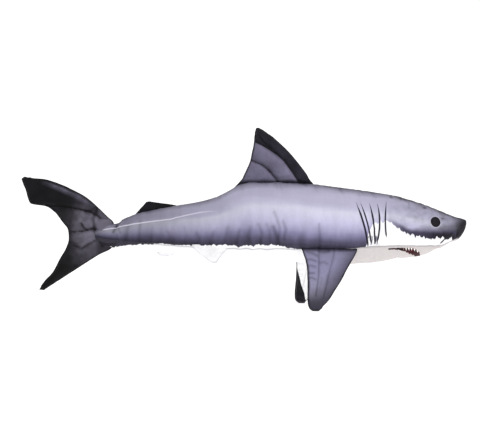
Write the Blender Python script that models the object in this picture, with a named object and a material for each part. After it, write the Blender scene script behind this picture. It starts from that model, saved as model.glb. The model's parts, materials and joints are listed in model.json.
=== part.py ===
"""Printed plush shark that stands on the tips of its two pectoral fins and of its lower tail lobe.

The fabric skin is sewn from two side panels and a belly panel over a fibre filling. The fins are
two fabric faces each, sewn into the seams, so that every fin root and the tail fold like a hinge.
X runs to the snout, Y to the shark's left and Z up. Lengths are in metres.
"""
import math

import bmesh
import bpy
import numpy as np
from mathutils import Vector

MM = 0.001

# fabric and clearances
FABRIC = 1.4 * MM          # thickness of one printed panel with its backing
FILL_GAP = 0.8 * MM        # between a panel and the filling behind it
SEAM_GAP = 0.3 * MM        # between two panels that meet at a seam
NARROWEST = 0.4 * MM       # least half width or height of any section
FIN_FABRIC = 1.2 * MM

# stance: the swimming shark is tipped nose up until three fin tips touch the floor
PECTORAL_TIP = (187 * MM, 113 * MM, -236 * MM)
TAIL_TIP = (-525 * MM, 0.0, -188 * MM)
SNOUT_X = 626 * MM
TAIL_END = (-577 * MM, 0.0, 107 * MM)
PITCH = math.atan2(TAIL_TIP[2] - PECTORAL_TIP[2], PECTORAL_TIP[0] - TAIL_TIP[0])

# joints along the body, in the swimming frame
BEND_X = -165 * MM         # the tail stock bends here
BEND_LIMIT = math.radians(25)
BEND_SPARE = math.radians(3)   # the stock can turn this much further before it meets the trunk
BEND_PLAY = 2 * MM             # between the two fillings at the bend
STOCK_ROW_X = -190 * MM        # an extra row behind the bend
STOCK_TABLE_X = -200 * MM      # behind this the rows come from the table
TRUNK_END_GAP = 5 * MM         # from the last table row to the cut end of the trunk
TAIL_FIN_AXIS_X = -342 * MM

# rows of the body: x, top, bottom, side seam and half width, snout first, in millimetres
BODY = (
    (626, 0, -14, -11, 8),
    (621, 2, -29, -24, 15),
    (612, 5, -44, -38, 22),
    (602, 7, -54, -47, 28),
    (579, 15, -63, -58, 39),
    (541, 30, -81, -71, 53),
    (494, 47, -96, -71, 66),
    (424, 67, -105, -70, 79),
    (354, 78, -114, -71, 87),
    (263, 90, -118, -78, 91),
    (202, 97, -119, -79, 91),
    (95, 101.5, -118, -78, 88),
    (35, 101.5, -115, -78, 83),
    (0, 95, -112.5, -77, 79.5),
    (-22, 84, -110, -77, 76),
    (-61, 64, -106, -76, 71),
    (-110, 50, -99, -74, 62.5),
    (-160, 41, -91, -71, 52.5),
    (-214, 31, -84, -67, 42.5),
    (-271, 19, -79, -63, 32),
    (-307, 5, -75.5, -60, 25),
    (-339, -10, -73, -57, 18),
)
WIDEST_BELOW_MIDDLE = 0.04  # the widest level, below mid height, as a share of the height

# points around one panel or filling
SIDE_STEPS = 9
BELLY_STEPS = 7
NOSE_ANGLES = (78, 58, 38, 18)

# fins as rows from root to tip: front x, z, rear x, z and half thickness, in millimetres
DORSAL = (
    (195, 105, 4, 105, 2.4),
    (188, 112, 7, 112, 5),
    (180, 121, 11, 121, 8),
    (164, 140, 20, 140, 10.5),
    (149, 159, 28, 159, 11),
    (125, 182, 33, 182, 10.5),
    (100, 208, 38, 208, 9.5),
    (81, 228, 40, 228, 7.5),
    (64, 240, 41, 240, 5.5),
    (53, 248, 44, 248, 3.5),
)
SECOND_DORSAL = (
    (-180, 44, -264, 27, 2.2),
    (-200, 46, -262, 33, 3.2),
    (-222, 47.5, -256, 41, 2.8),
    (-238, 49, -248, 47, 2),
)
ANAL = (
    (-174, -91, -222, -87.5, 2.2),
    (-186, -94, -219, -91, 2.6),
    (-197, -97, -211, -96, 2),
)
TAIL_FIN = (
    (-569, 113, -577, 107, 3),
    (-545, 110, -571, 93, 5),
    (-514, 106, -566, 81, 7),
    (-458, 86, -550, 53, 9),
    (-410, 60, -524, 37, 10.5),
    (-354, 9, -493, 21, 11),
    (-345, -9, -472, -3, 10),
    (-345, -40, -456, -26, 9.5),
    (-350, -69, -454, -48, 10),
    (-378, -93, -460, -71, 10),
    (-426, -124, -476, -100, 9),
    (-474, -155, -495, -136, 7),
    (-506, -176, -520, -165, 5.5),
)
TAIL_TIP_ROW = (-518, -532, 4)

# pectoral rows: z, front x, rear x and half thickness
PECTORAL = (
    (-83, 303, 157, 2.4),
    (-90, 298, 160, 4.6),
    (-103, 290, 164, 7.6),
    (-130, 273, 168, 10.5),
    (-158, 256, 168, 10.5),
    (-181, 240, 167, 9.5),
    (-205, 223, 166, 7.5),
    (-221, 208, 167, 6),
    (-230, 200, 171, 5),
)
PECTORAL_ROOT_Y = 76 * MM
PECTORAL_TIP_ROW = (195, 179, 3.6)

# pelvic rows: how far down from the root, front x, rear x and half thickness
PELVIC = (
    (0, -40, -128, 2.2),
    (10, -48, -118, 3),
    (24, -59, -99, 2.8),
    (38, -68, -82, 2.2),
)
PELVIC_ROOT_GAP = 4 * MM
PELVIC_FLARE = 0.30        # outward run for each unit of drop

# colours of the printed cloth
DUSK = (0.235, 0.225, 0.330)
SLATE = (0.160, 0.155, 0.230)
CHALK = (0.850, 0.850, 0.870)
INK = (0.045, 0.040, 0.070)
FIBRE = (0.900, 0.900, 0.880)


def clear_scene():
    for old in list(bpy.data.objects):
        bpy.data.objects.remove(old, do_unlink=True)


def tipped(x, z):
    """World x and z of a point of the swimming shark, before the shift to the origin."""
    return x * math.cos(PITCH) - z * math.sin(PITCH), x * math.sin(PITCH) + z * math.cos(PITCH)


SHIFT_X = -(tipped(SNOUT_X, 0.0)[0] + tipped(TAIL_END[0], TAIL_END[2])[0]) / 2
SHIFT_Z = -tipped(PECTORAL_TIP[0], PECTORAL_TIP[2])[1]


def place(x, y, z):
    """A point of the swimming shark, in metres, as it stands in the world."""
    wx, wz = tipped(x, z)
    return Vector((wx + SHIFT_X, y, wz + SHIFT_Z))


def floor_z(x):
    """Height in the swimming frame of the floor under x."""
    return -(SHIFT_Z + x * math.sin(PITCH)) / math.cos(PITCH)


def printed(name, colour, roughness):
    """One cloth or fibre finish."""
    finish = bpy.data.materials.new(name)
    finish.use_nodes = True
    shader = finish.node_tree.nodes["Principled BSDF"]
    shader.inputs["Base Color"].default_value = (*colour, 1.0)
    shader.inputs["Roughness"].default_value = roughness
    shader.inputs["Metallic"].default_value = 0.0
    return finish


def loft(name, rings, pivot, finish):
    """One closed solid: the first ring is filled, then extruded from ring to ring."""
    mesh = bpy.data.meshes.new(name)
    bm = bmesh.new()
    corners = [bm.verts.new(p - pivot) for p in rings[0]]
    cap = bm.faces.new(corners)
    for number, ring in enumerate(rings[1:]):
        grown = bmesh.ops.extrude_face_region(bm, geom=[cap])
        if number:
            bmesh.ops.delete(bm, geom=[cap], context="FACES_ONLY")
        cap = next(g for g in grown["geom"] if isinstance(g, bmesh.types.BMFace))
        for vert, point in zip(cap.verts, ring):
            vert.co = point - pivot
    sides = [face for face in bm.faces if len(face.verts) == 4]
    bmesh.ops.triangulate(bm, faces=sides, quad_method="SHORT_EDGE")
    bmesh.ops.recalc_face_normals(bm, faces=bm.faces)
    bm.to_mesh(mesh)
    bm.free()
    mesh.materials.append(finish)
    mesh.shade_smooth()
    mesh.set_sharp_from_angle(angle=math.radians(40))
    piece = bpy.data.objects.new(name, mesh)
    piece.location = pivot
    bpy.context.collection.objects.link(piece)
    return piece


def body_row(x):
    """Centre height, half height above and below it, half width and seam angle at x."""
    rows = np.array(BODY[::-1]) * MM
    top, bottom, seam, wide = (float(np.interp(x, rows[:, 0], rows[:, i])) for i in (1, 2, 3, 4))
    centre = (top + bottom) / 2 - WIDEST_BELOW_MIDDLE * (top - bottom)
    dip = min((centre - seam) / (centre - bottom), 0.97)
    return centre, top - centre, centre - bottom, wide, math.pi / 2 + math.asin(dip)


def around(x, angle, row, inset, scale=1.0):
    """Point of the body's section: angle 0 is the back, a right angle the shark's left."""
    centre, above, below, wide, _ = row
    high = above if math.cos(angle) > 0 else below
    reach = max((wide - inset) * scale, NARROWEST)
    rise = max((high - inset) * scale, NARROWEST)
    return x, reach * math.sin(angle), centre + rise * math.cos(angle)


def panel_ring(x, start, stop, steps, side, shift, sealed):
    """Closed C-shaped ring of one fabric panel: outer face out, inner face back."""
    row = body_row(x)
    inner = FABRIC if not sealed else row[3]
    angles = np.linspace(start, stop, steps)
    line = [around(x, a, row, 0.0) for a in angles]
    line += [around(x, a, row, inner) for a in angles[::-1]]
    return [place(px, side * (py + shift), pz) for px, py, pz in line]


def side_panel(name, xs, side, pivot, finish, sealed_x=None):
    rings = []
    for x in xs:
        seam = body_row(x)[4]
        rings.append(panel_ring(x, 0.0, seam, SIDE_STEPS, side, SEAM_GAP / 2, x == sealed_x))
    return loft(name, rings, pivot, finish)


def belly_panel(name, xs, pivot, finish, sealed_x=None):
    rings = []
    for x in xs:
        row = body_row(x)
        apart = 2 * SEAM_GAP / min(row[2], row[3])
        start = row[4] + apart
        rings.append(panel_ring(x, start, 2 * math.pi - start, BELLY_STEPS, 1, 0.0, x == sealed_x))
    return loft(name, rings, pivot, finish)


def fill_ring(x, row, scale=1.0, grow=0.0):
    """Closed ring of the filling, with its corners behind the panels' corners."""
    seam = row[4]
    right = np.linspace(0.0, seam, SIDE_STEPS)
    under = np.linspace(seam, 2 * math.pi - seam, BELLY_STEPS)
    angles = [*right, *under[1:-1], *(2 * math.pi - right[:0:-1])]
    inset = FABRIC + FILL_GAP - grow
    return [place(*around(x, a, row, inset, scale)) for a in angles]


def bend_rings(grow):
    """Rounded front end of the tail stock, turned about the bend's axis, front ring first."""
    row = body_row(BEND_X)
    radius = row[3] - FABRIC - FILL_GAP + grow
    rings = []
    for degrees in NOSE_ANGLES:
        turn = math.radians(degrees)
        rings.append(fill_ring(BEND_X + radius * math.sin(turn), row, math.cos(turn), grow))
    return rings


def fin_ring(front, rear, half, steps, side, fabric, sealed):
    """C-shaped ring of one fin face, from the front edge to the rear edge and back inside."""
    front, rear = Vector(front), Vector(rear)
    middle = (front + rear) / 2
    run = (front - rear) / 2
    length = run.length
    wall = half if sealed else fabric
    ring = []
    for a in np.linspace(0.0, math.pi, steps):
        p = middle + run * math.cos(a)
        ring.append((p.x, p.y + side * (SEAM_GAP / 2 + half * math.sin(a)), p.z))
    for a in np.linspace(math.pi, 0.0, steps):
        p = middle + run * (math.cos(a) * (length - fabric) / length)
        ring.append((p.x, p.y + side * (SEAM_GAP / 2 + (half - wall) * math.sin(a)), p.z))
    return [place(*p) for p in ring]


def fin_fill_ring(front, rear, half, steps):
    front, rear = Vector(front), Vector(rear)
    middle = (front + rear) / 2
    run = (front - rear) / 2
    inset = FIN_FABRIC + FILL_GAP
    ring = []
    for a in np.linspace(0.0, 2 * math.pi, steps, endpoint=False):
        p = middle + run * (math.cos(a) * (run.length - FIN_FILL_TRIM * inset) / run.length)
        ring.append(place(p.x, p.y + (half - inset) * math.sin(a), p.z))
    return ring


FIN_STEPS = 7
FIN_FILL_STEPS = 12
FIN_FILL_TRIM = 3          # how many wall thicknesses the filling stays behind a fin's edge
PADDED_FROM = 4.4 * MM     # a fin row thinner than this holds no filling


def fin(names, rows, pivot, finishes, filled=True):
    """Right face, left face and filling of one fin; a row is (front, rear, half thickness)."""
    for name, side, finish in ((names[0], -1, finishes[0]), (names[1], 1, finishes[1])):
        rings = []
        for front, rear, half in rows:
            thin = not filled or half < PADDED_FROM
            rings.append(fin_ring(front, rear, half, FIN_STEPS, side, FIN_FABRIC, thin))
        loft(name, rings, pivot, finish)
    if filled:
        padded = [r for r in rows if r[2] >= PADDED_FROM]
        rings = [fin_fill_ring(*row, FIN_FILL_STEPS) for row in padded]
        loft(names[2], rings, pivot, finishes[2])


def flat_rows(table):
    """Rows of a fin that stands in the shark's middle plane."""
    rows = []
    for front_x, front_z, rear_x, rear_z, half in table:
        front = (front_x * MM, 0.0, front_z * MM)
        rear = (rear_x * MM, 0.0, rear_z * MM)
        rows.append((front, rear, half * MM))
    return rows


def pectoral_rows(side):
    root_z = PECTORAL[0][0] * MM
    slope = (PECTORAL_TIP[1] - PECTORAL_ROOT_Y) / (PECTORAL_TIP[2] - root_z)
    rows = []
    for z, front_x, rear_x, half in PECTORAL:
        y = side * (PECTORAL_ROOT_Y + slope * (z * MM - root_z))
        rows.append(((front_x * MM, y, z * MM), (rear_x * MM, y, z * MM), half * MM))
    front_x, rear_x, half = (v * MM for v in PECTORAL_TIP_ROW)
    y = side * PECTORAL_TIP[1]
    rows.append(((front_x, y, floor_z(front_x)), (rear_x, y, floor_z(rear_x)), half))
    return rows


def seam_root(x, side):
    """Point just outside the side seam at x."""
    row = body_row(x)
    _, y, z = around(x, row[4], row, -PELVIC_ROOT_GAP)
    return x, side * y, z


def pelvic_rows(side):
    rows = []
    for drop, front_x, rear_x, half in PELVIC:
        ends = []
        for x in (front_x * MM, rear_x * MM):
            _, y, z = seam_root(x, side)
            ends.append((x, y + side * PELVIC_FLARE * drop * MM, z - drop * MM))
        rows.append((*ends, half * MM))
    return rows


def build_body(skin, belly, fibre):
    bend_row = body_row(BEND_X)
    notch = (bend_row[3] + FABRIC) * math.sin(BEND_LIMIT + BEND_SPARE)
    trunk_end = BEND_X + notch
    table_xs = [row[0] * MM for row in BODY]
    trunk_xs = [x for x in table_xs if x > trunk_end + TRUNK_END_GAP] + [trunk_end]
    stock_xs = [BEND_X, STOCK_ROW_X] + [x for x in table_xs if x < STOCK_TABLE_X]
    still = Vector((0.0, 0.0, 0.0))
    bend = place(BEND_X, 0.0, 0.0)

    side_panel("trunk_panel_right", trunk_xs, -1, still, skin, trunk_xs[0])
    side_panel("trunk_panel_left", trunk_xs, 1, still, skin, trunk_xs[0])
    belly_panel("trunk_belly_panel", trunk_xs, still, belly, trunk_xs[0])
    rings = [fill_ring(x, body_row(x)) for x in trunk_xs[2:]]
    socket = [r for r in bend_rings(BEND_PLAY)[::-1] if r[0].x > rings[-1][0].x + BEND_PLAY]
    turn = math.asin((trunk_end - BEND_X) / (bend_row[3] - FABRIC - FILL_GAP + BEND_PLAY))
    mouth = fill_ring(trunk_end, bend_row, math.cos(turn), BEND_PLAY)
    loft("trunk_filling", rings + [mouth] + socket, still, fibre)

    side_panel("tail_panel_right", stock_xs, -1, bend, skin)
    side_panel("tail_panel_left", stock_xs, 1, bend, skin)
    belly_panel("tail_belly_panel", stock_xs, bend, belly)
    rings = bend_rings(0.0) + [fill_ring(x, body_row(x)) for x in stock_xs]
    loft("tail_filling", rings, bend, fibre)


def build_fins(dusk, slate, ink, chalk, fibre):
    dorsal = flat_rows(DORSAL)
    names = ("dorsal_fin_right_face", "dorsal_fin_left_face", "dorsal_fin_filling")
    fin(names, dorsal, place(*dorsal[0][1]), (slate, slate, fibre))

    second = flat_rows(SECOND_DORSAL)
    names = ("second_dorsal_fin_right_face", "second_dorsal_fin_left_face")
    fin(names, second, place(*second[0][1]), (ink, ink), filled=False)

    anal = flat_rows(ANAL)
    names = ("anal_fin_right_face", "anal_fin_left_face")
    fin(names, anal, place(*anal[0][1]), (chalk, chalk), filled=False)

    front_x, rear_x, half = (v * MM for v in TAIL_TIP_ROW)
    tip = ((front_x, 0.0, floor_z(front_x)), (rear_x, 0.0, floor_z(rear_x)), half)
    names = ("tail_fin_right_face", "tail_fin_left_face", "tail_fin_filling")
    fin(names, flat_rows(TAIL_FIN) + [tip], place(TAIL_FIN_AXIS_X, 0.0, 0.0), (ink, ink, fibre))

    for side, word in ((-1, "right"), (1, "left")):
        rows = pectoral_rows(side)
        faces = ["inner", "outer"] if side > 0 else ["outer", "inner"]
        names = [f"pectoral_fin_{word}_{face}_face" for face in faces]
        cloths = [chalk if face == "inner" else dusk for face in faces]
        fin((*names, f"pectoral_fin_{word}_filling"), rows, place(*rows[0][1]), (*cloths, fibre))

        rows = pelvic_rows(side)
        names = [f"pelvic_fin_{word}_{face}_face" for face in faces]
        fin(names, rows, place(*rows[0][1]), (chalk, chalk), filled=False)


def main():
    clear_scene()
    dusk = printed("dusk_print", DUSK, 0.55)
    slate = printed("slate_print", SLATE, 0.55)
    ink = printed("ink_print", INK, 0.5)
    chalk = printed("chalk_cloth", CHALK, 0.6)
    fibre = printed("fibre_filling", FIBRE, 0.9)
    build_body(dusk, chalk, fibre)
    build_fins(dusk, slate, ink, chalk, fibre)


main()
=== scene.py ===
import json
import math
import bmesh
import bpy
import numpy as np
from mathutils import Matrix, Vector, noise


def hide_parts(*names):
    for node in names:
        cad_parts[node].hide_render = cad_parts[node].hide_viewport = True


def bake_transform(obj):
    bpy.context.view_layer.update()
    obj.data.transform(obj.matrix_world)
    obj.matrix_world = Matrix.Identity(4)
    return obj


# A printed plush shark. Every piece is shaped on the level shark (X to the snout, Z to the back)
# and then tipped into its stance. Tables are in millimetres, the rest in metres.
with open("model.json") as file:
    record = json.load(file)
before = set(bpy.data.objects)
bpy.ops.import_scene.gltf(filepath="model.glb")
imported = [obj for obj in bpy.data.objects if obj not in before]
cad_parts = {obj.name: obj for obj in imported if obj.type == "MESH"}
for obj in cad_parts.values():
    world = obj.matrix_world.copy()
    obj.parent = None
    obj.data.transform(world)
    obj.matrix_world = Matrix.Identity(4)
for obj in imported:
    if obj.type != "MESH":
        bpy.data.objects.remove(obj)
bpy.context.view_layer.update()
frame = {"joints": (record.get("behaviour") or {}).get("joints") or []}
mm = 0.001

bendJoint = next(j for j in frame["joints"] if j["name"] == "body_bend")
pitch = math.atan2(-bendJoint["axis"][0], bendJoint["axis"][2])
bendLevel = Vector((-165, 0, -25)) * mm
stance = (
    Matrix.Translation(bendJoint["pos_m"])
    @ Matrix.Rotation(-pitch, 4, "Y")
    @ Matrix.Translation(-bendLevel)
)


def smoothCurve(knots, values):
    # a cubic through every value, whose slopes never overshoot
    knots = np.asarray(knots, float)
    values = np.asarray(values, float)
    step = np.diff(knots)
    rise = np.diff(values) / step
    slope = np.zeros(len(knots))
    slope[0] = rise[0]
    slope[-1] = rise[-1]
    for i in range(1, len(step)):
        if rise[i - 1] * rise[i] > 0:
            a = 2 * step[i] + step[i - 1]
            b = step[i] + 2 * step[i - 1]
            slope[i] = (a + b) / (a / rise[i - 1] + b / rise[i])

    def at(place):
        place = np.clip(place, knots[0], knots[-1])
        i = np.clip(np.searchsorted(knots, place) - 1, 0, len(step) - 1)
        t = (place - knots[i]) / step[i]
        first = (1 + 2 * t) * (1 - t) ** 2 * values[i] + t * (1 - t) ** 2 * step[i] * slope[i]
        last = t * t * (3 - 2 * t) * values[i + 1] + t * t * (t - 1) * step[i] * slope[i + 1]
        return first + last

    return at


def lineDistance(x, z, line):
    # distance to a bent line, how far along it the nearest point is, and +1 above it or -1 below
    best = np.full(len(x), 9.0)
    along = np.zeros(len(x))
    side = np.ones(len(x))
    start = 0.0
    for (ax, az), (bx, bz) in zip(line[:-1], line[1:]):
        ax, az, bx, bz = ax * mm, az * mm, bx * mm, bz * mm
        length = math.hypot(bx - ax, bz - az)
        t = np.clip(((x - ax) * (bx - ax) + (z - az) * (bz - az)) / length**2, 0, 1)
        nearX = ax + t * (bx - ax)
        nearZ = az + t * (bz - az)
        away = np.hypot(x - nearX, z - nearZ)
        closer = away < best
        best[closer] = away[closer]
        along[closer] = (start + t * length)[closer]
        side[closer] = np.where(z >= nearZ, 1.0, -1.0)[closer]
        start += length
    return best, along, side


def fold(line, depth, width, reach, paintedCreaseShade, above=0.0, below=0.0, pinch=0.72):
    # a crease: its line, depth, width and reach in mm, how dark its painted shade is, and the painted shading
    # above and below it
    sizes = {"line": line, "depth": depth, "width": width, "reach": reach}
    return {**sizes, "paintedCreaseShade": paintedCreaseShade, "above": above, "below": below, "pinch": pinch}


def foldMarks(x, z, folds):
    # dent in metres and painted shading (darker below 0, lighter above 0) that the folds and quilted lines
    # leave
    dent = np.zeros(len(x))
    shade = np.zeros(len(x))
    for crease in folds:
        away, side = lineDistance(x, z, crease["line"])[::2]
        width = crease["width"] * mm
        reach = crease["reach"] * mm
        dent += crease["depth"] * mm * np.exp(-((away / width) ** 2))
        # painted shade in the crease, and painted light and shade on each side of it
        shade -= crease["paintedCreaseShade"] * np.exp(-((away / (0.6 * width)) ** 2))
        tone = np.where(side > 0, crease["above"], crease["below"])
        shade += tone * np.exp(-away / reach)
    return dent, np.maximum(shade, -0.93)


def newObject(name, bm):
    mesh = bpy.data.meshes.new(name)
    bm.to_mesh(mesh)
    bm.free()
    piece = bpy.data.objects.new(name, mesh)
    bpy.context.scene.collection.objects.link(piece)
    return piece


def positions(mesh):
    flat = np.zeros(len(mesh.vertices) * 3)
    mesh.vertices.foreach_get("co", flat)
    return flat.reshape(-1, 3)


def puffCloth(piece, pinned, settings):
    # the filling presses the cloth outwards between its seams
    rest = positions(piece.data)
    group = piece.vertex_groups.new(name="seams")
    for index, hold in enumerate(pinned):
        if hold > 0.01:
            group.add([index], float(hold), "REPLACE")
    cloth = piece.modifiers.new("Cloth", "CLOTH")
    cloth.settings.quality = 5
    cloth.settings.mass = 0.2
    cloth.settings.tension_stiffness = settings["stiffness"]
    cloth.settings.compression_stiffness = settings["stiffness"]
    cloth.settings.shear_stiffness = settings["stiffness"] * 0.6
    cloth.settings.bending_stiffness = settings["bending"]
    cloth.settings.use_pressure = True
    cloth.settings.uniform_pressure_force = settings["pressure"]
    cloth.settings.vertex_group_mass = "seams"
    cloth.settings.shrink_min = -settings["spare"]
    cloth.settings.effector_weights.gravity = 0.0
    scene = bpy.context.scene
    for step in range(1, settings["steps"] + 1):
        scene.frame_set(step)
    graph = bpy.context.evaluated_depsgraph_get()
    moved = positions(piece.evaluated_get(graph).data)
    shift = moved - rest
    far = np.linalg.norm(shift, axis=1)
    cap = settings["cap"] * mm
    kept = cap * np.tanh(far / cap) / np.maximum(far, 1e-9)
    result = rest + shift * kept[:, None]
    piece.modifiers.remove(cloth)
    piece.vertex_groups.clear()
    piece.data.vertices.foreach_set("co", result.ravel())
    piece.data.update()
    scene.frame_set(1)
    print("  cloth settled", piece.name, "moved up to", round(float(far.max()) * 1000, 1), "mm")


def panelOf(whole, name, number, thickness):
    # one sewn panel cut out of the whole shell, rounded, and given its cloth thickness inwards
    bm = bmesh.new()
    bm.from_mesh(whole.data)
    layer = bm.faces.layers.int["panel"]
    others = [face for face in bm.faces if face[layer] != number]
    bmesh.ops.delete(bm, geom=others, context="FACES")
    piece = newObject(name, bm)
    rounder = piece.modifiers.new("Rounder", "SUBSURF")
    rounder.levels = 1
    rounder.render_levels = 1
    wall = piece.modifiers.new("Wall", "SOLIDIFY")
    wall.thickness = thickness * mm
    wall.offset = -1.0
    graph = bpy.context.evaluated_depsgraph_get()
    finished = bpy.data.meshes.new_from_object(piece.evaluated_get(graph))
    piece.modifiers.clear()
    rough = piece.data
    piece.data = finished
    bpy.data.meshes.remove(rough)
    finished.name = name
    finished.transform(stance)
    finished.shade_smooth()
    return piece


def dress(piece, material, nodes):
    piece.data.materials.clear()
    piece.data.materials.append(material)
    if nodes:
        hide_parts(*nodes)


def linear(colour):
    made = []
    for part in colour:
        part = part / 255
        made.append(part / 12.92 if part <= 0.04045 else ((part + 0.055) / 1.055) ** 2.4)
    return (*made, 1.0)


def addNode(tree, kind, inputs, **settings):
    node = tree.nodes.new(kind)
    for key, value in settings.items():
        setattr(node, key, value)
    for key, value in inputs.items():
        if isinstance(value, bpy.types.NodeSocket):
            tree.links.new(value, node.inputs[key])
        else:
            node.inputs[key].default_value = value
    return node


def calc(tree, operation, a, b=0.0, c=0.0, clamp=False):
    node = addNode(tree, "ShaderNodeMath", {0: a, 1: b, 2: c}, operation=operation, use_clamp=clamp)
    return node.outputs[0]


def times(tree, a, b):
    return calc(tree, "MULTIPLY", a, b)


def plus(tree, a, b):
    return calc(tree, "ADD", a, b)


def minus(tree, a, b):
    return calc(tree, "SUBTRACT", a, b)


def timesPlus(tree, a, b, c):
    return calc(tree, "MULTIPLY_ADD", a, b, c)


def attributeOf(tree, name, output="Fac"):
    return addNode(tree, "ShaderNodeAttribute", {}, attribute_name=name).outputs[output]


def remap(tree, value, low, high, first=0.0, last=1.0, smooth=False):
    kind = "SMOOTHSTEP" if smooth else "LINEAR"
    inputs = {"Value": value, "From Min": low, "From Max": high, "To Min": first, "To Max": last}
    node = addNode(tree, "ShaderNodeMapRange", inputs, interpolation_type=kind)
    return node.outputs["Result"]


def rampOf(tree, value, stops, easing="LINEAR"):
    node = addNode(tree, "ShaderNodeValToRGB", {"Fac": value})
    node.color_ramp.interpolation = easing
    marks = node.color_ramp.elements
    while len(marks) < len(stops):
        marks.new(0.5)
    for mark, (place, colour) in zip(marks, stops):
        mark.position = place
        mark.color = linear(colour)
    return node.outputs["Color"]


def levelOf(tree, value, low, high, points):
    # a drawn curve: value runs from low to high, and the points give what comes out
    start = min(y for x, y in points)
    span = max(y for x, y in points) - start
    node = addNode(tree, "ShaderNodeFloatCurve", {"Value": remap(tree, value, low, high)})
    curve = node.mapping.curves[0]
    while len(curve.points) < len(points):
        curve.points.new(0.5, 0.5)
    for point, (x, y) in zip(curve.points, points):
        point.location = ((x - low) / (high - low), (y - start) / span)
        point.handle_type = "VECTOR"
    node.mapping.update()
    return timesPlus(tree, node.outputs["Value"], span, start)


def blendColour(tree, factor, a, b, mode="MIX"):
    inputs = {0: factor, 6: a, 7: b}
    node = addNode(tree, "ShaderNodeMix", inputs, data_type="RGBA", blend_type=mode)
    return node.outputs[2]


def dyed(tree, colour, factor, dye):
    return blendColour(tree, factor, colour, linear(dye))


def toned(tree, colour, tone):
    # the colour times a plain number
    level = addNode(tree, "ShaderNodeCombineColor", {0: tone, 1: tone, 2: tone})
    return blendColour(tree, 1.0, colour, level.outputs[0], "MULTIPLY")


def awayFrom(tree, value, middle):
    return calc(tree, "ABSOLUTE", minus(tree, value, middle))


def swing(tree, field, span):
    # a noise field turned into a swing about 0, span from its lowest to its highest
    return times(tree, minus(tree, field, 0.5), span)


def noiseOf(tree, place, scale, detail=2.0, stretch=(1, 1, 1)):
    mapped = addNode(tree, "ShaderNodeMapping", {"Vector": place, "Scale": stretch})
    inputs = {"Vector": mapped.outputs["Vector"], "Scale": scale, "Detail": detail}
    node = addNode(tree, "ShaderNodeTexNoise", inputs)
    return node.outputs["Fac"]


satin = {
    "roughness": 0.5,
    "sheen": 0.03,
    "sheenRoughness": 0.4,
    "specular": 0.10,
    "weavePitch": 1.1,    # mm from thread to thread
    "weaveRelief": 0.10,  # mm
    "creaseRelief": 0.9,  # mm
}


def emptyMaterial(name):
    material = bpy.data.materials.new(name)
    material.use_nodes = True
    material.node_tree.nodes.clear()
    return material, material.node_tree


def closeMaterial(tree, colour, place, extraHeight):
    # threads both ways, soft crumples, and the satin shader
    parts = addNode(tree, "ShaderNodeSeparateXYZ", {"Vector": place})
    turn = 2 * math.pi / (satin["weavePitch"] * mm)
    warp = calc(tree, "SINE", times(tree, parts.outputs["X"], turn))
    across = plus(tree, parts.outputs["Z"], parts.outputs["Y"])
    weft = calc(tree, "SINE", times(tree, across, turn))
    threads = timesPlus(tree, warp, weft, 1.0)
    crumple = noiseOf(tree, place, 26.0, 4.0, (1.0, 1.0, 0.55))
    height = times(tree, threads, satin["weaveRelief"] * 0.5)
    height = timesPlus(tree, crumple, satin["creaseRelief"], height)
    height = plus(tree, height, extraHeight)
    bump = addNode(tree, "ShaderNodeBump", {"Strength": 0.8, "Distance": mm, "Height": height})
    worn = noiseOf(tree, place, 9.0, 3.0)
    gloss = remap(tree, worn, 0.3, 0.7, satin["roughness"] - 0.07, satin["roughness"] + 0.09)
    inputs = {
        "Base Color": colour,
        "Roughness": gloss,
        "Specular IOR Level": satin["specular"],
        "Sheen Weight": satin["sheen"],
        "Sheen Roughness": satin["sheenRoughness"],
        "Normal": bump.outputs["Normal"],
    }
    shader = addNode(tree, "ShaderNodeBsdfPrincipled", inputs)
    addNode(tree, "ShaderNodeOutputMaterial", {"Surface": shader.outputs["BSDF"]})


def sewnSeam(tree, colour, seamAway, along, reach, strength, dye, stitched, thread):
    # the seam as a darker line, with a row of stitches beside it
    colour = dyed(tree, colour, remap(tree, seamAway, 0.0006, reach, strength, 0.0), dye)
    stitches = stitchMarks(tree, seamAway, along, offset=2.6)
    return dyed(tree, colour, times(tree, stitches, stitched), thread), stitches


def stitchMarks(tree, away, along, pitch=3.4, offset=0.0):
    # short stitches beside a seam: 1 on a stitch, 0 between
    row = calc(tree, "COMPARE", away, offset * mm, 0.45 * mm)
    wave = calc(tree, "FRACT", calc(tree, "DIVIDE", along, pitch * mm))
    dash = calc(tree, "LESS_THAN", wave, 0.62)
    return times(tree, row, dash)


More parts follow.
